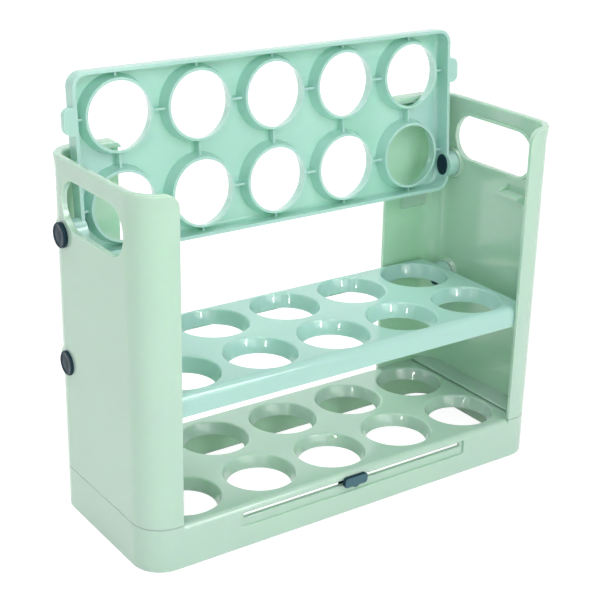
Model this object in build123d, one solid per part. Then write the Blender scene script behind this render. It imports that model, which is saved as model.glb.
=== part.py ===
from build123d import *
import math
import os

# Tiered egg holder: a ribbed base, two side panels, two tilting cup trays on snap pins, and a date slider.
# X runs along the trays, Y from front to back, Z up. The origin is under the middle, at floor level.

# Overall sizes, in millimetres and degrees
body_width = 276.5
body_depth = 107.5
body_corner_radius = 17.5
base_height = 26.0
panel_height = 185.6
tier_pitch = 75.0

# Egg cups
cup_columns = 5
cup_rows = 2
cup_land = 7.4
cup_taper = 2.5
cup_end_margin = 3.2
cup_front_margin = 0.5
cup_depth = 9.1
base_cup_depth = 7.7
cup_wall = 1.5
cup_edge_round = 1.5

# Base tray
base_wall = 2.2
base_plate = 2.2
base_edge_round = 3.5
base_foot_chamfer = 0.6

# Ribs under every cup plate
rib_height = 4.7
rib_thickness = 1.3

# Tilting trays
tray_side_gap = 7.85
tray_front_clearance = 0.5
tray_rear_clearance = 1.6
tray_height = 12.3
tray_corner_radius = 8.5
tray_wall = 2.0
tray_plate = 1.8
tray_edge_round = 4.5
raise_lean = 4.0

# Support ears near each tray's free edge
ear_reach = 6.0
ear_length = 15.0
ear_setback = 18.0
ear_thickness = 4.0
ear_corner_radius = 4.5

# Hinges
hinge_drop = 8.2
hinge_setback = 15.3
tray_boss_radius = 8.0
tray_boss_length = 5.2
panel_boss_radius = 9.2
panel_boss_flare = 1.6
boss_gap = 0.25
shank_radius = 4.5
hinge_clearance = 0.06
panel_bore_clearance = 0.05
pin_end_gap = 0.15

# Snap pins and their inner caps
pin_cap_radius = 7.8
pin_cap_edge = 1.1
pin_cap_crown = 1.0
clip_head_radius = 7.0
clip_head_thickness = 1.9
clip_head_clearance = 0.2
clip_stud_radius = 2.5
clip_stud_length = 8.0
clip_stud_tip_gap = 1.0

# Side panels
panel_wall = 2.2
front_return = 21.9
rear_return = 43.2
front_corner_radius = 9.0
rear_corner_radius = 6.5
lip_height = 9.0
lip_out = 1.0
lip_in = 1.2
lip_round = 1.4
lip_inner_radius = 13.0
stop_height = 4.0
stop_gap = 0.2
seam_height = 0.4
seam_depth = 0.9

# Hand slot in each panel
slot_length = 69.0
slot_height = 28.0
slot_center_y = -1.0
slot_center_above_base = 161.0
slot_rim_width = 2.0
slot_rim_height = 1.0

# Ledges that carry the ears of a lowered tray
ledge_reach = 9.4
ledge_thickness = 1.6
ledge_gap = 0.2
ledge_front_margin = 1.8
ledge_rear_margin = 0.8
ledge_side_clearance = 0.5
ledge_rib = 1.4
ledge_upstand = 3.6
ledge_gusset_drop = 4.8

# Stiffening block on each rear return
block_inset = 12.5
block_width = 18.0
block_bottom = 110.0
block_height = 14.0
block_depth = 3.4
block_chamfer = 2.6

# Panel foot and the snap tabs that hold it to the base
foot_reach = 13.0
foot_thickness = 1.8
foot_gap = 0.5
tab_inset = 6.5
tab_width = 12.0
tab_thickness = 1.8
tab_pitch = 33.0
tab_count = 3
tab_clearance = 0.2
tab_hook = 1.1
tab_hook_height = 3.0
tab_hook_gap = 0.15

# Date channel across the base's front
channel_length = 161.0
channel_top_drop = 3.5
channel_height = 9.5
channel_depth = 1.6
channel_back_wall = 1.9
channel_corner_radius = 1.5
track_slot_length = 156.0
track_slot_drop = 7.0
track_slot_height = 1.6
track_bead_radius = 0.5

# Date slider
slider_offset = -3.25
slider_length = 16.4
slider_height = 6.4
slider_top_drop = 1.0
slider_proud = 2.5
slider_point = 2.2
slider_point_width = 5.0
slider_corner_radius = 2.2
slider_edge_round = 0.6
slider_face_gap = 0.2
slider_block_length = 13.0
slider_block_clearance = 0.25
slider_block_drop = 1.5
slider_stem_length = 10.0
slider_stem_clearance = 0.1
clip_length = 15.0
clip_height = 7.0
clip_thickness = 1.8
clip_gap = 0.15
clip_path_clearance = 0.4

# Places worked out from the sizes
body_center_y = (slider_proud - lip_out) / 2
front_face = body_center_y - body_depth / 2
rear_face = body_center_y + body_depth / 2
body_half_width = body_width / 2
panel_inner_x = body_half_width - panel_wall
tray_half_width = panel_inner_x - tray_side_gap
tray_depth = body_depth - 2 * panel_wall - tray_front_clearance - tray_rear_clearance
column_pitch = 2 * (tray_half_width - cup_end_margin) / cup_columns
row_pitch = (tray_depth - 2 * cup_front_margin) / cup_rows
cup_mouth_radius = (min(column_pitch, row_pitch) - cup_land) / 2
cup_throat_radius = cup_mouth_radius - cup_taper
column_x = [(i - (cup_columns - 1) / 2) * column_pitch for i in range(cup_columns)]
row_y = [body_center_y + (j - (cup_rows - 1) / 2) * row_pitch for j in range(cup_rows)]
panel_top = base_height + panel_height
middle_top = base_height + tier_pitch
upper_top = base_height + 2 * tier_pitch
tray_front = front_face + panel_wall + tray_front_clearance
tray_rear = tray_front + tray_depth
hinge_y = tray_rear - hinge_setback
middle_hinge_z = middle_top - hinge_drop
upper_hinge_z = upper_top - hinge_drop
front_edge_x = body_half_width - front_return
rear_edge_x = body_half_width - rear_return
panel_boss_length = panel_inner_x - tray_half_width - tray_boss_length - boss_gap
raise_angle = 90 + raise_lean


def box(x0, x1, y0, y1, z0, z1):
    """A block between two corners."""
    return Pos((x0 + x1) / 2, (y0 + y1) / 2, (z0 + z1) / 2) * Box(x1 - x0, y1 - y0, z1 - z0)


def rounded_block(half_x, y0, y1, radius, z0, z1, spread=0):
    """A block with rounded upright corners, centred on X, whose sides spread that far towards the top."""
    outline = Pos(0, (y0 + y1) / 2) * RectangleRounded(2 * half_x, y1 - y0, radius)
    lean = -math.degrees(math.atan2(spread, z1 - z0))
    return Pos(0, 0, z0) * extrude(outline, amount=z1 - z0, taper=lean)


def cylinder_x(radius, x0, x1, y, z):
    """A round bar along X."""
    return Pos((x0 + x1) / 2, y, z) * Rot(0, 90, 0) * Cylinder(radius, x1 - x0)


def slab_y(points, y0, thickness):
    """A flat piece with a straight-sided outline in XZ, from y0 towards the back."""
    outline = Plane.XZ * Polygon(*points, align=None)
    return Pos(0, y0, 0) * extrude(outline, amount=thickness, dir=(0, 1, 0))


def mirror_x(shape):
    """The same shape on the other side."""
    return mirror(shape, about=Plane.YZ)


def cup_void(depth):
    """The space inside one cup: a rounded mouth, then a cone down to the throat."""
    slope = (cup_mouth_radius - cup_throat_radius) / depth
    lean = math.atan(slope)
    tangent = cup_edge_round * math.tan((math.pi / 2 - lean) / 2)
    flat = (cup_mouth_radius + tangent, 0)
    wall = (cup_mouth_radius - tangent * math.sin(lean), -tangent * math.cos(lean))
    below = depth + 1
    with BuildPart() as void:
        with BuildSketch(Plane.XZ):
            with BuildLine():
                Line((0, 1), (flat[0], 1))
                Line((flat[0], 1), flat)
                RadiusArc(flat, wall, -cup_edge_round)
                Line(wall, (cup_mouth_radius - slope * below, -below))
                Line((cup_mouth_radius - slope * below, -below), (0, -below))
                Line((0, -below), (0, 1))
            make_face()
        revolve(axis=Axis.Z)
    return void.part


def cup_collar(depth, plate):
    """The wall of one cup below its plate, solid until the void is cut."""
    slope = (cup_mouth_radius - cup_throat_radius) / depth
    outer = cup_wall * math.sqrt(1 + slope * slope)
    top_radius = cup_mouth_radius + outer - slope * plate / 2
    return Pos(0, 0, -depth) * Cone(
        cup_throat_radius + outer, top_radius, depth - plate / 2,
        align=(Align.CENTER, Align.CENTER, Align.MIN),
    )


def add_cups(body, depth, plate, top, half_x, y0, y1):
    """Give a hollow plate its collars, the ribs that join them and the cup openings."""
    rib_top = top - plate / 2
    rib_bottom = top - plate - rib_height
    half_rib = rib_thickness / 2
    for y in row_y:
        body += box(-half_x, half_x, y - half_rib, y + half_rib, rib_bottom, rib_top)
    for x in column_x:
        body += box(x - half_rib, x + half_rib, y0, y1, rib_bottom, rib_top)
    spots = [Pos(x, y, top) for x in column_x for y in row_y]
    collar = cup_collar(depth, plate)
    void = cup_void(depth)
    for spot in spots:
        body += spot * collar
    for spot in spots:
        body -= spot * void
    return body


def round_base_edge(edge_y, inward, half_length):
    """What is cut away to roll the base's top edge between the panels."""
    r = base_edge_round
    strip = box(-half_length, half_length, edge_y - r, edge_y + r, base_height - r, base_height + r)
    return strip - cylinder_x(r, -half_length, half_length, edge_y + inward * r, base_height - r)


def tab_places():
    """Middles of the snap tabs along one panel."""
    return [body_center_y + (i - (tab_count - 1) / 2) * tab_pitch for i in range(tab_count)]


def make_base():
    """Base tray: open below, with ten cups, slots for the panels and the date channel."""
    inner_half = body_half_width - base_wall
    inner_front = front_face + base_wall
    inner_rear = rear_face - base_wall
    inner_radius = body_corner_radius - base_wall
    body = rounded_block(body_half_width, front_face, rear_face, body_corner_radius, 0, base_height)
    body = chamfer(body.edges().group_by(Axis.Z)[0], base_foot_chamfer)
    body -= rounded_block(inner_half, inner_front, inner_rear, inner_radius, 0, base_height - base_plate)
    body -= round_base_edge(front_face, 1, front_edge_x)
    body -= round_base_edge(rear_face, -1, rear_edge_x)

    channel_top = base_height - channel_top_drop
    channel_bottom = channel_top - channel_height
    channel_floor = front_face + channel_depth
    channel_back = channel_floor + channel_back_wall
    clip_path_back = channel_back + clip_gap + clip_thickness + clip_path_clearance
    backing = box(
        -channel_length / 2 - base_wall, channel_length / 2 + base_wall,
        front_face + base_wall / 2, channel_back, channel_bottom - base_wall, base_height - base_plate / 2,
    )
    body += backing
    body = add_cups(body, base_cup_depth, base_plate, base_height, inner_half, clip_path_back, inner_rear)

    recess = box(
        -channel_length / 2, channel_length / 2,
        front_face - 1, channel_floor, channel_bottom, channel_top,
    )
    recess = fillet(recess.edges().filter_by(Axis.Y), channel_corner_radius)
    body -= recess
    track_z = base_height - track_slot_drop
    half_track = track_slot_height / 2
    bead_z = track_z - half_track - track_bead_radius
    body += cylinder_x(track_bead_radius, -track_slot_length / 2, track_slot_length / 2, channel_floor, bead_z)
    body -= box(
        -track_slot_length / 2, track_slot_length / 2,
        channel_floor - 1, channel_back + 1, track_z - half_track, track_z + half_track,
    )

    for side in (-1, 1):
        middle = side * (panel_inner_x - tab_inset)
        half_slot = tab_thickness / 2 + tab_clearance
        hook_room = tab_hook if side > 0 else 0
        inner_room = tab_hook if side < 0 else 0
        for y in tab_places():
            half_tab = tab_width / 2 + tab_clearance
            body -= box(
                middle - half_slot - hook_room, middle + half_slot + inner_room,
                y - half_tab, y + half_tab, base_height - base_plate - rib_height, base_height + 1,
            )
    return body


def make_tray():
    """One tilting tray, lowered, with its top face at Z = 0."""
    body = rounded_block(tray_half_width, tray_front, tray_rear, tray_corner_radius, -tray_height, 0)
    body = fillet(body.edges().group_by(Axis.Z)[-1], tray_edge_round)
    inner_half = tray_half_width - tray_wall
    inner_front = tray_front + tray_wall
    inner_rear = tray_rear - tray_wall
    room = rounded_block(
        inner_half, inner_front, inner_rear, tray_corner_radius - tray_wall, -tray_height, -tray_plate
    )
    room = fillet(room.edges().group_by(Axis.Z)[-1], tray_edge_round - tray_wall)
    body -= room
    body = add_cups(body, cup_depth, tray_plate, 0, inner_half, inner_front, inner_rear)
    for side in (-1, 1):
        body += tray_ear(side)
        body += tray_boss(side)
    for side in (-1, 1):
        body -= tray_boss_room(side)
    return body


def tray_ear(side):
    """Support ear, flush with the skirt's rim."""
    root = tray_half_width - tray_wall
    tip = tray_half_width + ear_reach
    y0 = tray_front + ear_setback
    outline = Pos((root + tip) / 2, y0 + ear_length / 2) * Rectangle(tip - root, ear_length)
    outline = fillet(outline.vertices().group_by(Axis.X)[-1], ear_corner_radius)
    ear = Pos(0, 0, -tray_height) * extrude(outline, amount=ear_thickness)
    return ear if side > 0 else mirror_x(ear)


def tray_boss(side):
    """Hinge boss: a hub outside the end wall and a round cheek in line with it."""
    inner = tray_half_width - tray_wall
    outer = tray_half_width + tray_boss_length
    boss = cylinder_x(tray_boss_radius, inner, outer, hinge_y, -hinge_drop)
    return boss if side > 0 else mirror_x(boss)


def tray_boss_room(side):
    """Pin bore and the pocket for the pin's inner cap."""
    inner = tray_half_width - tray_wall
    outer = tray_half_width + tray_boss_length
    bore = cylinder_x(shank_radius + hinge_clearance, inner - 1, outer + 1, hinge_y, -hinge_drop)
    pocket_depth = clip_head_thickness + pin_end_gap + clip_head_clearance
    pocket = cylinder_x(
        clip_head_radius + clip_head_clearance, inner - pocket_depth, inner, hinge_y, -hinge_drop
    )
    room = bore + pocket
    return room if side > 0 else mirror_x(room)


def panel_band(rear_inside, inner_radius, z0, z1, out=0, inside=0):
    """A band of the right panel's C outline, which spreads out and in that far towards its top."""
    outer = rounded_block(body_half_width, front_face, rear_face, body_corner_radius, z0, z1, out)
    hollow = rounded_block(
        panel_inner_x, front_face + panel_wall, rear_face - panel_wall - rear_inside, inner_radius, z0, z1, -inside
    )
    far = body_width
    keep = box(front_edge_x, far, front_face - far, body_center_y, z0, z1)
    keep += box(rear_edge_x, far, body_center_y, rear_face + far, z0, z1)
    return (outer - hollow) & keep


def stadium(length, height):
    """Long round-ended plate in the YZ plane at the hand slot, thickness given by the caller."""
    place = Plane(
        origin=(0, body_center_y + slot_center_y, base_height + slot_center_above_base),
        x_dir=(0, 1, 0), z_dir=(1, 0, 0),
    )
    return place * SlotOverall(length, height)


def stop_face_y():
    """Where the rear rim stands so that the raised top tray leans on it."""
    lean = math.radians(raise_lean)
    rise = panel_top - upper_hinge_z
    return hinge_y + (hinge_drop + rise * math.sin(lean)) / math.cos(lean) + stop_gap


def ledge(rim_z):
    """Shelf for one ear, with a gusset under its front end and an upstand behind the ear."""
    y0 = tray_front + ear_setback - ledge_front_margin
    y1 = tray_front + ear_setback + ear_length + ledge_rear_margin
    tip = panel_inner_x - ledge_reach
    top = rim_z - ledge_gap
    shelf = box(tip, panel_inner_x + panel_wall / 2, y0, y1 + ledge_rib, top - ledge_thickness, top)
    under = top - ledge_thickness
    wall_x = panel_inner_x + panel_wall / 2
    upstand_x = tray_half_width + ledge_side_clearance
    shelf += slab_y([(upstand_x, top), (panel_inner_x, top + ledge_upstand), (wall_x, top + ledge_upstand),
                     (wall_x, top)], y1, ledge_rib)
    shelf += slab_y([(tip, under), (wall_x, under), (wall_x, under - ledge_gusset_drop),
                     (panel_inner_x, under - ledge_gusset_drop)], y0, ledge_rib)
    return shelf


def make_right_panel():
    """Side panel: a C-shaped wall with a rolled lip, a hand slot, bosses, ledges and a foot."""
    stop_depth = rear_face - panel_wall - stop_face_y()
    wall_radius = body_corner_radius - panel_wall
    lip = panel_band(0, wall_radius, panel_top - lip_height, panel_top, lip_out, lip_in)
    lip += panel_band(stop_depth, lip_inner_radius, panel_top - stop_height, panel_top)
    lip = fillet(lip.edges().group_by(Axis.Z)[-1], lip_round)
    body = lip + panel_band(0, wall_radius, base_height, panel_top - lip_height)
    seam = rounded_block(
        body_half_width + 1, front_face - 1, rear_face + 1, body_corner_radius + 1,
        base_height, base_height + seam_height,
    )
    seam -= rounded_block(
        body_half_width - seam_depth, front_face + seam_depth, rear_face - seam_depth,
        body_corner_radius - seam_depth, base_height, base_height + seam_height,
    )
    body -= seam
    for r, edge_x, y0, y1 in (
        (front_corner_radius, front_edge_x, front_face - lip_out - 1, front_face + panel_wall + lip_in + 1),
        (rear_corner_radius, rear_edge_x, stop_face_y() - 1, rear_face + lip_out + 1),
    ):
        corner = box(edge_x - r, edge_x + r, y0, y1, panel_top - r, panel_top + r)
        corner -= Pos(edge_x + r, (y0 + y1) / 2, panel_top - r) * Rot(90, 0, 0) * Cylinder(r, y1 - y0 + 2)
        body -= corner

    rim = extrude(
        Pos(panel_inner_x - slot_rim_height, 0, 0)
        * stadium(slot_length + 2 * slot_rim_width, slot_height + 2 * slot_rim_width),
        amount=slot_rim_height + panel_wall / 2,
    )
    body += rim
    for z in (middle_hinge_z, upper_hinge_z):
        boss = Pos(panel_inner_x + panel_wall / 2, hinge_y, z) * Rot(0, -90, 0) * Cone(
            panel_boss_radius + panel_boss_flare, panel_boss_radius, panel_boss_length + panel_wall / 2,
            align=(Align.CENTER, Align.CENTER, Align.MIN),
        )
        body += boss
    body -= extrude(
        Pos(panel_inner_x - slot_rim_height - panel_boss_length, 0, 0) * stadium(slot_length, slot_height),
        amount=panel_wall + slot_rim_height + panel_boss_length + 1,
    )
    for z in (middle_hinge_z, upper_hinge_z):
        body -= cylinder_x(
            shank_radius + panel_bore_clearance, tray_half_width, body_half_width + 1, hinge_y, z
        )
    for top in (middle_top, upper_top):
        body += ledge(top - tray_height)

    block_edge_x = rear_edge_x + block_inset
    block_z0 = base_height + block_bottom
    inner_rear = rear_face - panel_wall
    section = Plane.YZ * Polygon(
        (inner_rear + panel_wall / 2, block_z0), (inner_rear, block_z0),
        (inner_rear - block_depth, block_z0 + block_chamfer),
        (inner_rear - block_depth, block_z0 + block_height), (inner_rear + panel_wall / 2, block_z0 + block_height),
        align=None,
    )
    body += Pos(block_edge_x, 0, 0) * extrude(section, amount=block_width, dir=(1, 0, 0))

    foot_z0 = base_height + foot_gap
    floor_plan = rounded_block(
        panel_inner_x + panel_wall / 2, front_face + panel_wall / 2, rear_face - panel_wall / 2,
        body_corner_radius - panel_wall / 2, foot_z0, foot_z0 + foot_thickness,
    )
    body += floor_plan & box(
        panel_inner_x - foot_reach, body_half_width, front_face, rear_face, foot_z0, foot_z0 + foot_thickness
    )
    for y in tab_places():
        body += snap_tab(y)
    return body


def snap_tab(y):
    """Tab down from the foot, with a hook that catches under the base's plate."""
    x0 = panel_inner_x - tab_inset - tab_thickness / 2
    x1 = x0 + tab_thickness
    catch = base_height - base_plate - tab_hook_gap
    tip = catch - tab_hook_height
    root = base_height + foot_gap + foot_thickness / 2
    outline = [(x1, root), (x1, tip), (x0, tip), (x0 - tab_hook, catch), (x0, catch), (x0, root)]
    return slab_y(outline, y - tab_width / 2, tab_width)


def make_pin(z):
    """Right hinge pin: a crowned cap outside the panel and a hollow shank through the tray's boss."""
    end_x = tray_half_width - tray_wall - pin_end_gap
    length = body_half_width - end_x
    sphere_radius = (pin_cap_radius ** 2 + pin_cap_crown ** 2) / (2 * pin_cap_crown)
    with BuildPart() as pin:
        with BuildSketch(Plane.XZ):
            with BuildLine():
                Line((0, 0), (shank_radius, 0))
                Line((shank_radius, 0), (shank_radius, length))
                Line((shank_radius, length), (pin_cap_radius, length))
                Line((pin_cap_radius, length), (pin_cap_radius, length + pin_cap_edge))
                RadiusArc((pin_cap_radius, length + pin_cap_edge), (0, length + pin_cap_edge + pin_cap_crown),
                          -sphere_radius)
                Line((0, length + pin_cap_edge + pin_cap_crown), (0, 0))
            make_face()
        revolve(axis=Axis.Z)
    body = pin.part - Cylinder(
        clip_stud_radius, clip_stud_length + clip_stud_tip_gap, align=(Align.CENTER, Align.CENTER, Align.MIN)
    )
    return Pos(end_x, hinge_y, z) * Rot(0, 90, 0) * body


def make_pin_clip(z):
    """Inner cap: a round head with a stud pressed into the pin's shank."""
    end_x = tray_half_width - tray_wall - pin_end_gap
    head = Cylinder(clip_head_radius, clip_head_thickness, align=(Align.CENTER, Align.CENTER, Align.MAX))
    head = fillet(head.edges().group_by(Axis.Z)[0], clip_head_thickness / 3)
    stud = Cylinder(clip_stud_radius, clip_stud_length, align=(Align.CENTER, Align.CENTER, Align.MIN))
    return Pos(end_x, hinge_y, z) * Rot(0, 90, 0) * (head + stud)


def make_slider():
    """Date slider: a finger plate with a pointer, a guide block and a stem through the track."""
    top = base_height - slider_top_drop
    bottom = top - slider_height
    back = front_face - slider_face_gap
    front = front_face - slider_proud
    half = slider_length / 2
    plate = box(-half, half, front, back, bottom, top)
    plate = fillet(plate.edges().filter_by(Axis.Y), slider_corner_radius)
    half_point = slider_point_width / 2
    plate += slab_y([(-half_point, bottom), (half_point, bottom), (0, bottom - slider_point)], front, back - front)
    plate = fillet(plate.edges().group_by(Axis.Y)[0], slider_edge_round)

    channel_top = base_height - channel_top_drop
    channel_floor = front_face + channel_depth
    block_back = channel_floor - track_bead_radius - slider_face_gap
    block = box(
        -slider_block_length / 2, slider_block_length / 2, back, block_back,
        base_height - track_slot_drop - slider_block_drop, channel_top - slider_block_clearance,
    )
    track_z = base_height - track_slot_drop
    half_stem = track_slot_height / 2 - slider_stem_clearance
    stem_end = channel_floor + channel_back_wall + clip_gap + clip_thickness
    stem = box(
        -slider_stem_length / 2, slider_stem_length / 2, back, stem_end, track_z - half_stem, track_z + half_stem
    )
    return Pos(slider_offset, 0, 0) * (plate + block + stem)


def make_slider_clip():
    """Flat clip pressed on the end of the slider's stem, behind the channel's wall."""
    front = front_face + channel_depth + channel_back_wall + clip_gap
    track_z = base_height - track_slot_drop
    half_stem = track_slot_height / 2 - slider_stem_clearance
    clip = box(
        -clip_length / 2, clip_length / 2, front, front + clip_thickness,
        track_z - clip_height / 2, track_z + clip_height / 2,
    )
    clip = fillet(clip.edges().filter_by(Axis.Y), slider_corner_radius)
    clip -= box(
        -slider_stem_length / 2, slider_stem_length / 2, front - 1, front + clip_thickness + 1,
        track_z - half_stem, track_z + half_stem,
    )
    return Pos(slider_offset, 0, 0) * clip


def main():
    """Build every piece and write one file for each."""
    tray = make_tray()
    right_panel = make_right_panel()
    hinge_line = Axis((0, hinge_y, upper_hinge_z), (1, 0, 0))
    pieces = {
        "base_tray": make_base(),
        "side_panel_right": right_panel,
        "side_panel_left": mirror_x(right_panel),
        "middle_tray": Pos(0, 0, middle_top) * tray,
        "top_tray": (Pos(0, 0, upper_top) * tray).rotate(hinge_line, -raise_angle),
        "date_slider": make_slider(),
        "slider_clip": make_slider_clip(),
    }
    for level, z in (("lower", middle_hinge_z), ("upper", upper_hinge_z)):
        pin = make_pin(z)
        clip = make_pin_clip(z)
        pieces[f"hinge_pin_{level}_right"] = pin
        pieces[f"hinge_pin_{level}_left"] = mirror_x(pin)
        pieces[f"pin_clip_{level}_right"] = clip
        pieces[f"pin_clip_{level}_left"] = mirror_x(clip)
    os.makedirs("parts", exist_ok=True)
    for name, piece in pieces.items():
        export_step(piece, f"parts/{name}.step")


main()
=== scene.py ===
import math

import bmesh
import bpy
from mathutils import Matrix, Vector


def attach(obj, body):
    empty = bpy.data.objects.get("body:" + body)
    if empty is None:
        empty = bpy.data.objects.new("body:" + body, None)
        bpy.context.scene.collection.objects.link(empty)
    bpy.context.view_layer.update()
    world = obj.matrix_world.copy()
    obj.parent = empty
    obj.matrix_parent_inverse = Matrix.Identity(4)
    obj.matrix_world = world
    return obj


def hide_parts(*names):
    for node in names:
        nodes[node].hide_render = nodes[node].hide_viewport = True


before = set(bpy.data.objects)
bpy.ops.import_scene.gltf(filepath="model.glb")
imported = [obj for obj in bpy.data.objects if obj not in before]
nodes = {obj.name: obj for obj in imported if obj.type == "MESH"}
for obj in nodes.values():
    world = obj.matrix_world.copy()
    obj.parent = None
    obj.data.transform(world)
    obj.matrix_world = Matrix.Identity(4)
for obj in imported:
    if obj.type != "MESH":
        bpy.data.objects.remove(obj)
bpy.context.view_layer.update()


# Base tray
# A shallow tray in pale mint polypropylene, injection moulded and open below, with ten egg cups and the
# date channel. The mould's polished steel gives an even gloss, and every edge keeps a small radius.

moulded_edge, join_distance, same_place = 0.00035, 2e-6, 1e-5
track_top_z, track_half_length, track_front_y, track_opened_by = 0.0198, 0.0781, -0.049, 0.0011


def to_linear(hex_code):
    """An sRGB hex colour as the linear RGBA that the shader reads."""
    parts = [int(hex_code[i:i + 2], 16) / 255 for i in (1, 3, 5)]
    return [c / 12.92 if c <= 0.04045 else ((c + 0.055) / 1.055) ** 2.4 for c in parts] + [1.0]


def add_node(tree, kind, settings=None, values=None, links=None):
    """Adds a node, sets its properties and inputs, and links inputs from (node, output) pairs."""
    node = tree.nodes.new(kind)
    for key, value in (settings or {}).items():
        setattr(node, key, value)
    for key, value in (values or {}).items():
        node.inputs[key].default_value = value
    for key, (source, output) in (links or {}).items():
        tree.links.new(source.outputs[output], node.inputs[key])
    return node


def moulded_plastic(name, light, deep, roughness, glow, sheen, grain=0.04):
    """Moulded polypropylene: faint cloudy colour from the melt's flow, even gloss and a soft orange peel."""
    material = bpy.data.materials.new(name)
    material.use_nodes = True
    tree = material.node_tree
    tree.nodes.clear()
    place = add_node(tree, "ShaderNodeTexCoord")
    # flow clouds about 60 mm across
    cloud = add_node(tree, "ShaderNodeTexNoise", values={"Scale": 17.0, "Detail": 2.0, "Roughness": 0.45},
                     links={"Vector": (place, "Object")})
    tint = add_node(tree, "ShaderNodeMix", {"data_type": "RGBA"},
                    {6: to_linear(light), 7: to_linear(deep)}, {0: (cloud, "Fac")})
    # handling marks about 9 mm apart
    rub = add_node(tree, "ShaderNodeTexNoise", values={"Scale": 110.0, "Detail": 4.0, "Roughness": 0.6},
                   links={"Vector": (place, "Object")})
    gloss = add_node(tree, "ShaderNodeMapRange", values={
        "From Min": 0.3, "From Max": 0.7, "To Min": roughness, "To Max": roughness + 0.05}, links={
        "Value": (rub, "Fac")})
    # the orange peel is about 0.8 mm across, drawn at 1.5 mm so that it shows
    peel = add_node(tree, "ShaderNodeTexNoise", values={"Scale": 650.0, "Detail": 1.0},
                    links={"Vector": (place, "Object")})
    # walls draw in by some hundredths of a millimetre over 30 mm as they cool
    sink = add_node(tree, "ShaderNodeTexNoise", values={"Scale": 33.0, "Detail": 1.0},
                    links={"Vector": (place, "Object")})
    height = add_node(tree, "ShaderNodeMath", {"operation": "MULTIPLY_ADD"}, {1: grain},
                      {0: (peel, "Fac"), 2: (sink, "Fac")})
    relief = add_node(tree, "ShaderNodeBump", values={"Strength": 0.6, "Distance": 0.00006},
                      links={"Height": (height, "Value")})
    # light travels some millimetres inside the pale walls, and green goes furthest
    skin = add_node(tree, "ShaderNodeBsdfPrincipled", values={
        "IOR": 1.49, "Specular IOR Level": sheen, "Subsurface Weight": glow,
        "Subsurface Radius": (0.6, 1.0, 0.5), "Subsurface Scale": 0.005}, links={
        "Base Color": (tint, 2), "Roughness": (gloss, "Result"), "Normal": (relief, "Normal")})
    add_node(tree, "ShaderNodeOutputMaterial", links={"Surface": (skin, "BSDF")})
    return material


def moulded_piece(name, node, material, body, edge, form=None):
    """A piece with the CAD node's form, its facets joined and its sharp edges rounded as by a mould."""
    mesh = nodes[node].data.copy()
    work = bmesh.new()
    work.from_mesh(mesh)
    bmesh.ops.remove_doubles(work, verts=work.verts, dist=join_distance)
    if form:
        form(work)
    for face in work.faces:
        face.smooth = True
    work.to_mesh(mesh)
    work.free()
    mesh.materials.clear()
    mesh.materials.append(material)
    piece = bpy.data.objects.new(name, mesh)
    bpy.context.scene.collection.objects.link(piece)
    rounding = piece.modifiers.new("rounding", "BEVEL")
    rounding.width = edge
    rounding.segments = 2
    rounding.limit_method = "ANGLE"
    rounding.angle_limit = math.radians(35)
    rounding.use_clamp_overlap = True
    rounding.miter_outer = "MITER_ARC"
    weights = piece.modifiers.new("weights", "WEIGHTED_NORMAL")
    weights.keep_sharp = True
    weights.weight = 100
    graph = bpy.context.evaluated_depsgraph_get()
    final = bpy.data.meshes.new_from_object(piece.evaluated_get(graph))
    piece.modifiers.clear()
    piece.data = final
    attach(piece, body)
    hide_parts(node)
    return piece


def base_form(work):
    """The base with its date track opened so far that light shows through it."""
    for vert in work.verts:
        x, y, z = vert.co
        if abs(z - track_top_z) < same_place and abs(x) < track_half_length and y < track_front_y:
            vert.co.z += track_opened_by


mint = moulded_plastic("mint_polypropylene", "#BBD8C7", "#B6D5C3", 0.09, 0.5, 0.8)
moulded_piece("base_shell", "base_tray", mint, "frame", moulded_edge, base_form)


# Side panels
# Two C-shaped walls in the same mint polypropylene, with a rolled lip and a hand slot.
# Tabs under their feet snap into the base.

foot_under_z, foot_half_x, foot_raised_by = 0.0265, 0.1355, 0.0005


def panel_form(work):
    """The panel with a wider, darker seam under its foot."""
    for vert in work.verts:
        if abs(vert.co.z - foot_under_z) < same_place and abs(vert.co.x) < foot_half_x:
            vert.co.z += foot_raised_by


for side in ("right", "left"):
    moulded_piece(f"panel_{side}", f"side_panel_{side}", mint, "frame", moulded_edge, panel_form)


# Cup trays
# Two trays in a bluer, slightly glossier polypropylene, moulded with ribs below. Each turns on a pair of
# snap pins at its rear corners.

teal = moulded_plastic("teal_polypropylene", "#AFD9CF", "#AAD6CB", 0.07, 0.35, 0.8)
for tier in ("middle", "top"):
    moulded_piece(f"tray_{tier}", f"{tier}_tray", teal, f"{tier}_tray", moulded_edge)


# Snap pins
# Dark slate polypropylene pins with a satin gloss, pressed through panel and tray from outside.
# A cap covers the panel's hole, and an oval head holds the pin inside the tray's end wall.

slate = moulded_plastic("slate_polypropylene", "#1F3B47", "#1A333F", 0.18, 0.0, 0.1)


def turned(work, profile, squeeze=1.0):
    """A form turned about X from (x, radius) pairs, its depth along Y drawn in by squeeze."""
    sides = 72
    angles = [2 * math.pi * i / sides for i in range(sides)]
    rings = []
    for x, radius in profile:
        if radius:
            rings.append([work.verts.new((x, radius * math.cos(a) * squeeze, radius * math.sin(a)))
                          for a in angles])
        else:
            rings.append([work.verts.new((x, 0, 0))] * sides)
    for first, second in zip(rings, rings[1:]):
        for i in range(sides):
            following = (i + 1) % sides
            corners = [first[i], first[following], second[following], second[i]]
            face = work.faces.new(list(dict.fromkeys(corners)))
            face.smooth = True


pin_mesh = bpy.data.meshes.new("pin")
work = bmesh.new()
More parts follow.
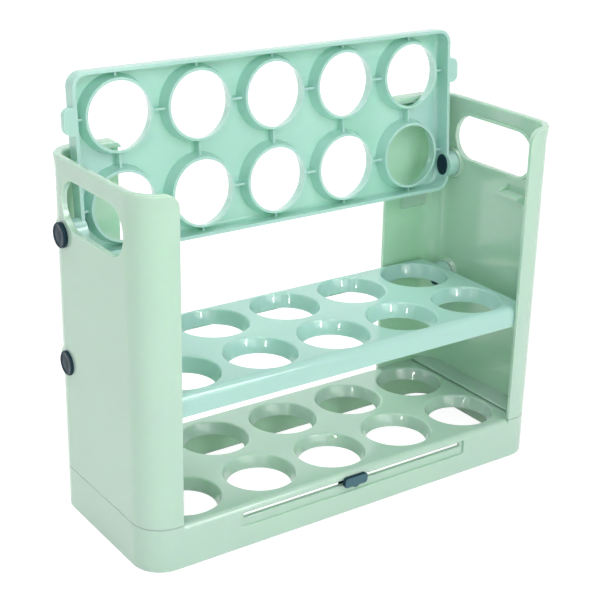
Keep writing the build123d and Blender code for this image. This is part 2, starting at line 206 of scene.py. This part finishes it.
# the shank, and the cap outside the panel with a rolled rim about a slightly sunk and crowned face
turned(work, [(0.1262, 0.0), (0.1262, 0.0036), (0.1372, 0.0036), (0.1372, 0.0070), (0.1390, 0.0072),
              (0.1396, 0.00695), (0.1399, 0.0065), (0.13985, 0.0061), (0.1396, 0.0058), (0.1399, 0.0030),
              (0.1400, 0.0)])
# the oval head inside the tray's end wall
turned(work, [(0.1249, 0.0), (0.1249, 0.0062), (0.12515, 0.0067), (0.12605, 0.0070), (0.12605, 0.0)],
       squeeze=0.74)
bmesh.ops.recalc_face_normals(work, faces=work.faces)
work.to_mesh(pin_mesh)
work.free()

tree = bpy.data.node_groups.new("four_pins", "GeometryNodeTree")
tree.interface.new_socket("Geometry", in_out="INPUT", socket_type="NodeSocketGeometry")
inputs = []
for label, value in (("Hinge Y", 0.0354), ("Lower Hinge Z", 0.0928), ("Tier Pitch", 0.075),
                     ("Upper Pins Out", 0.0008)):
    socket = tree.interface.new_socket(label, in_out="INPUT", socket_type="NodeSocketFloat")
    socket.default_value = value
    inputs.append((socket.identifier, value))
socket = tree.interface.new_socket("Plastic", in_out="INPUT", socket_type="NodeSocketMaterial")
inputs.append((socket.identifier, slate))
tree.interface.new_socket("Geometry", in_out="OUTPUT", socket_type="NodeSocketGeometry")
given = add_node(tree, "NodeGroupInput")
# four points: bit 0 of the index picks the side, bit 1 the tier
corners = add_node(tree, "GeometryNodePoints", values={"Count": 4})
index = add_node(tree, "GeometryNodeInputIndex")
is_left = add_node(tree, "ShaderNodeMath", {"operation": "MODULO"}, {1: 2.0}, {0: (index, 0)})
is_upper = add_node(tree, "ShaderNodeMath", {"operation": "GREATER_THAN"}, {1: 1.5}, {0: (index, 0)})
rise = add_node(tree, "ShaderNodeMath", {"operation": "MULTIPLY_ADD"}, links={
    0: (is_upper, 0), 1: (given, "Tier Pitch"), 2: (given, "Lower Hinge Z")})
sign = add_node(tree, "ShaderNodeMath", {"operation": "MULTIPLY_ADD"}, {1: -2.0, 2: 1.0}, {
    0: (is_left, 0)})
out = add_node(tree, "ShaderNodeMath", {"operation": "MULTIPLY"}, links={
    0: (is_upper, 0), 1: (given, "Upper Pins Out")})
shift = add_node(tree, "ShaderNodeMath", {"operation": "MULTIPLY"}, links={0: (out, 0), 1: (sign, 0)})
spot = add_node(tree, "ShaderNodeCombineXYZ", links={
    "X": (shift, 0), "Y": (given, "Hinge Y"), "Z": (rise, 0)})
placed = add_node(tree, "GeometryNodeSetPosition", links={"Geometry": (corners, 0), "Position": (spot, 0)})
half_turn = add_node(tree, "ShaderNodeMath", {"operation": "MULTIPLY"}, {1: math.pi}, {
    0: (is_left, 0)})
turn = add_node(tree, "ShaderNodeCombineXYZ", links={"Z": (half_turn, 0)})
pins = add_node(tree, "GeometryNodeInstanceOnPoints", links={
    "Points": (placed, 0), "Instance": (given, 0), "Rotation": (turn, 0)})
solid = add_node(tree, "GeometryNodeRealizeInstances", links={0: (pins, 0)})
painted = add_node(tree, "GeometryNodeSetMaterial", links={
    "Geometry": (solid, 0), "Material": (given, "Plastic")})
add_node(tree, "NodeGroupOutput", links={0: (painted, 0)})

snap_pins = bpy.data.objects.new("snap_pins", pin_mesh)
bpy.context.scene.collection.objects.link(snap_pins)
repeat = snap_pins.modifiers.new("four_pins", "NODES")
repeat.node_group = tree
for identifier, value in inputs:
    repeat[identifier] = value
graph = bpy.context.evaluated_depsgraph_get()
final = bpy.data.meshes.new_from_object(snap_pins.evaluated_get(graph))
snap_pins.modifiers.clear()
snap_pins.data = final
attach(snap_pins, "frame")
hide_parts(*[f"{kind}_{level}_{side}" for kind in ("hinge_pin", "pin_clip")
                         for level in ("lower", "upper") for side in ("left", "right")])


# Date slider
# A slate finger plate with a pointer, its face stippled by an etched mould and given a lighter slate than
# its top and left edges as painted light.
# Its stem passes through the track, and a flat clip holds it behind the channel's wall.

plate_rear_y, plate_face_y, plate_foot_z = -0.0531, -0.0553, 0.0186
plate_dropped_by, pointer_cut = 0.0012, 0.5


def marker_form(work):
    """The finger plate set a little lower on its stem, with a short pointer."""
    for vert in work.verts:
        if vert.co.y < plate_rear_y:
            below_plate = max(0.0, plate_foot_z - vert.co.z)
            vert.co.z += pointer_cut * below_plate - plate_dropped_by


# the stipple's grain and matte gloss are the face's own; its lighter colour is painted light on the front
# face only
stippled_and_painted_lit = moulded_plastic("slate_stippled_and_painted_lit", "#47707B", "#3E636E", 0.3, 0.0, 0.3, 0.5)
marker = moulded_piece("date_marker", "date_slider", slate, "date_slider",
                       edge=0.0002, form=marker_form)
marker.data.materials.append(stippled_and_painted_lit)
# faces turned to the front take the lighter slate as painted light
for face in marker.data.polygons:
    if face.normal.y < -0.9 and face.center.y < plate_face_y:
        face.material_index = 1
moulded_piece("marker_clip", "slider_clip", slate, "date_slider", edge=0.0001)


# Floor, light and camera
# A plain white floor and backdrop, as for a catalogue picture, that camera and glossy rays see as white.
# Broad soft boxes light the holder from the front, above and behind.

floor_mesh = bpy.data.meshes.new("floor")
floor_half = 6.0
floor_mesh.from_pydata(
    [(-floor_half, -floor_half, 0), (floor_half, -floor_half, 0), (floor_half, floor_half, 0),
     (-floor_half, floor_half, 0)], [], [(0, 1, 2, 3)])
floor = bpy.data.objects.new("floor", floor_mesh)
bpy.context.scene.collection.objects.link(floor)
paper = bpy.data.materials.new("white_paper")
paper.use_nodes = True
tree = paper.node_tree
tree.nodes.clear()
matte = add_node(tree, "ShaderNodeBsdfDiffuse", values={"Color": to_linear("#F4F4F4")})
shine = add_node(tree, "ShaderNodeEmission", values={"Color": (1, 1, 1, 1), "Strength": 0.93})
ray = add_node(tree, "ShaderNodeLightPath")
# a faint diffuse part keeps the holder's shadow on the glowing floor
faint = add_node(tree, "ShaderNodeBsdfDiffuse", values={"Color": (0.25, 0.25, 0.25, 1)})
lit = add_node(tree, "ShaderNodeAddShader", links={0: (faint, 0), 1: (shine, 0)})
seen = add_node(tree, "ShaderNodeMath", {"operation": "MAXIMUM"},
                links={0: (ray, "Is Camera Ray"), 1: (ray, "Is Glossy Ray")})
mixed = add_node(tree, "ShaderNodeMixShader", links={"Fac": (seen, 0), 1: (matte, 0), 2: (lit, 0)})
add_node(tree, "ShaderNodeOutputMaterial", links={"Surface": (mixed, 0)})
floor_mesh.materials.append(paper)

world = bpy.data.worlds.new("studio")
bpy.context.scene.world = world
world.use_nodes = True
tree = world.node_tree
tree.nodes.clear()
room = add_node(tree, "ShaderNodeBackground", values={"Color": (1, 1, 1, 1), "Strength": 0.06})
backdrop = add_node(tree, "ShaderNodeBackground", values={"Color": (1, 1, 1, 1), "Strength": 1.0})
ray = add_node(tree, "ShaderNodeLightPath")
seen = add_node(tree, "ShaderNodeMath", {"operation": "MAXIMUM"},
                links={0: (ray, "Is Camera Ray"), 1: (ray, "Is Glossy Ray")})
mixed = add_node(tree, "ShaderNodeMixShader", links={"Fac": (seen, 0), 1: (room, 0), 2: (backdrop, 0)})
add_node(tree, "ShaderNodeOutputWorld", links={"Surface": (mixed, 0)})


def soft_box(name, place, target, width, height, watts):
    """A rectangular soft box that faces the target."""
    lamp = bpy.data.lights.new(name, "AREA")
    lamp.shape = "RECTANGLE"
    lamp.size, lamp.size_y = width, height
    lamp.energy = watts
    box = bpy.data.objects.new(name, lamp)
    box.location = place
    box.rotation_mode = "QUATERNION"
    box.rotation_quaternion = (Vector(target) - Vector(place)).to_track_quat("-Z", "Y")
    bpy.context.scene.collection.objects.link(box)
    return box


middle = (0, 0, 0.12)
soft_box("front_left", (-0.95, -1.25, 1.2), middle, 0.8, 0.8, 7.6)
soft_box("front_right", (0.6, -1.5, 1.2), middle, 0.8, 0.8, 12.0)
soft_box("front_low", (0.1, -1.8, 0.35), middle, 1.6, 0.6, 5.5)
soft_box("overhead", (0.0, 0.1, 1.7), middle, 1.3, 1.1, 9.4)
soft_box("left_wall", (-1.5, 0.0, 0.7), middle, 1.0, 1.0, 2.9)
rear = soft_box("rear", (0.0, 1.5, 1.5), middle, 1.8, 1.0, 23)
rear_low = soft_box("rear_low", (0.0, 1.7, 0.5), middle, 1.4, 0.8, 10)
# the lamps behind leave no mirror image on the walls of the raised cups
rear.visible_glossy = rear_low.visible_glossy = False
# two small lamps for the sparkles in the middle tray's cups
soft_box("front_spark", (0.038, -0.45, 0.155), (0.03, 0.0, 0.1), 0.02, 0.04, 0.1)
soft_box("left_spark", (-0.47, -0.37, 0.18), (0.0, 0.0, 0.1), 0.025, 0.05, 0.22)

# the photograph is taken from 35 degrees left of the front and 22 degrees above, slightly rolled
azimuth, elevation, roll = math.radians(35.06), math.radians(21.73), math.radians(1.24)
forward = Vector((math.sin(azimuth) * math.cos(elevation), math.cos(azimuth) * math.cos(elevation),
                  -math.sin(elevation)))
level = Vector((math.cos(azimuth), -math.sin(azimuth), 0))
upright = level.cross(forward)
across = math.cos(roll) * level + math.sin(roll) * upright
above = math.cos(roll) * upright - math.sin(roll) * level
lens = bpy.data.cameras.new("camera")
lens.sensor_width = 36
lens.lens = 82.366
camera = bpy.data.objects.new("camera", lens)
camera.matrix_world = Matrix.Translation((-0.43196, -0.60559, 0.40959)) @ Matrix(
    (across, above, -forward)).transposed().to_4x4()
bpy.context.scene.collection.objects.link(camera)
bpy.context.scene.camera = camera
bpy.context.scene.view_settings.view_transform = "Standard"
